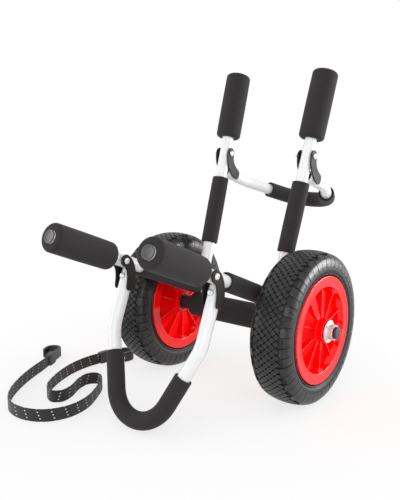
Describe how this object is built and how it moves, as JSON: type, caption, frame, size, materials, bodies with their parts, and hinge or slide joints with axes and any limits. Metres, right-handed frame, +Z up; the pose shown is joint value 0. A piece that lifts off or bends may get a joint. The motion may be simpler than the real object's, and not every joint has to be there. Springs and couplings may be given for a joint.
{
  "type": "paddleboard cart",
  "caption": "Folding two-wheel cart for a paddleboard: padded L-shaped side frames on a padded axle, knobbly tyres, kickstand, rear bar and a tie-down strap.",
  "frame": {"origin": "on the floor under the middle of the cart, halfway between the front grips and the rear bar", "axes": "+X along the axle towards the right wheel, -Y towards the front arms and the kickstand, +Z up"},
  "size_m": [0.6809, 0.7616, 0.6625],
  "materials": {
    "tube_white": "gloss",
    "foam_black": "matte",
    "tyre_black": "matte",
    "rim_red": "gloss",
    "bracket_black": "satin",
    "plastic_black": "satin",
    "cap_grey": "satin",
    "zinc": "satin",
    "webbing_black": "matte"
  },
  "bodies": {
    "frame": {"frame_left": "tube_white", "frame_right": "tube_white", "arm_grip_left": "foam_black", "arm_grip_right": "foam_black", "top_grip_left": "foam_black", "top_grip_right": "foam_black", "arm_sleeve_left": "foam_black", "arm_sleeve_right": "foam_black", "upright_sleeve_left": "foam_black", "upright_sleeve_right": "foam_black", "axle_foam": "foam_black", "tail_plug_left": "plastic_black", "tail_plug_right": "plastic_black", "axle_plug_left": "plastic_black", "axle_plug_right": "plastic_black", "axle_spacer_left": "plastic_black", "axle_spacer_right": "plastic_black", "strap_hook_left": "plastic_black", "strap_hook_right": "plastic_black", "arm_cap_left": "cap_grey", "arm_cap_right": "cap_grey", "axle": "zinc", "frame_bolt_left": "zinc", "frame_bolt_right": "zinc", "wheel_collar_left": "zinc", "wheel_collar_right": "zinc", "front_stand_bolt_left": "zinc", "front_stand_bolt_right": "zinc", "front_stand_nut_left": "zinc", "front_stand_nut_right": "zinc", "rear_bar_bolt_left": "zinc", "rear_bar_bolt_right": "zinc", "rear_bar_nut_left": "zinc", "rear_bar_nut_right": "zinc", "strap": "webbing_black"},
    "wheel_left": {"tyre_left": "tyre_black", "rim_outer_left": "rim_red", "rim_inner_left": "rim_red", "hub_bush_outer_left": "plastic_black", "hub_bush_inner_left": "plastic_black"},
    "wheel_right": {"tyre_right": "tyre_black", "rim_outer_right": "rim_red", "rim_inner_right": "rim_red", "hub_bush_outer_right": "plastic_black", "hub_bush_inner_right": "plastic_black"},
    "front_stand": {"front_stand_bar": "tube_white", "front_stand_foam": "foam_black", "front_stand_bracket_left": "bracket_black", "front_stand_bracket_right": "bracket_black", "stand_screw_left": "zinc", "stand_screw_right": "zinc"},
    "rear_bar": {"rear_bar_bar": "tube_white", "rear_bar_foam": "foam_black", "rear_bar_bracket_left": "bracket_black", "rear_bar_bracket_right": "bracket_black"}
  },
  "joints": [
    {"name": "wheel_left_spin", "type": "hinge", "parent": "frame", "child": "wheel_left", "pos_m": [-0.17375, 0.0274, 0.1524], "axis": [1, 0, 0], "continuous": true},
    {"name": "wheel_right_spin", "type": "hinge", "parent": "frame", "child": "wheel_right", "pos_m": [0.17375, 0.0274, 0.1524], "axis": [1, 0, 0], "continuous": true},
    {"name": "front_stand_fold", "type": "hinge", "parent": "frame", "child": "front_stand", "pos_m": [0, -0.2045, 0.2874], "axis": [-1, 0, 0], "range_deg": [0, 68]},
    {"name": "rear_bar_fold", "type": "hinge", "parent": "frame", "child": "rear_bar", "pos_m": [0, 0.1356, 0.4819], "axis": [1, 0, 0], "range_deg": [0, 85]}
  ]
}
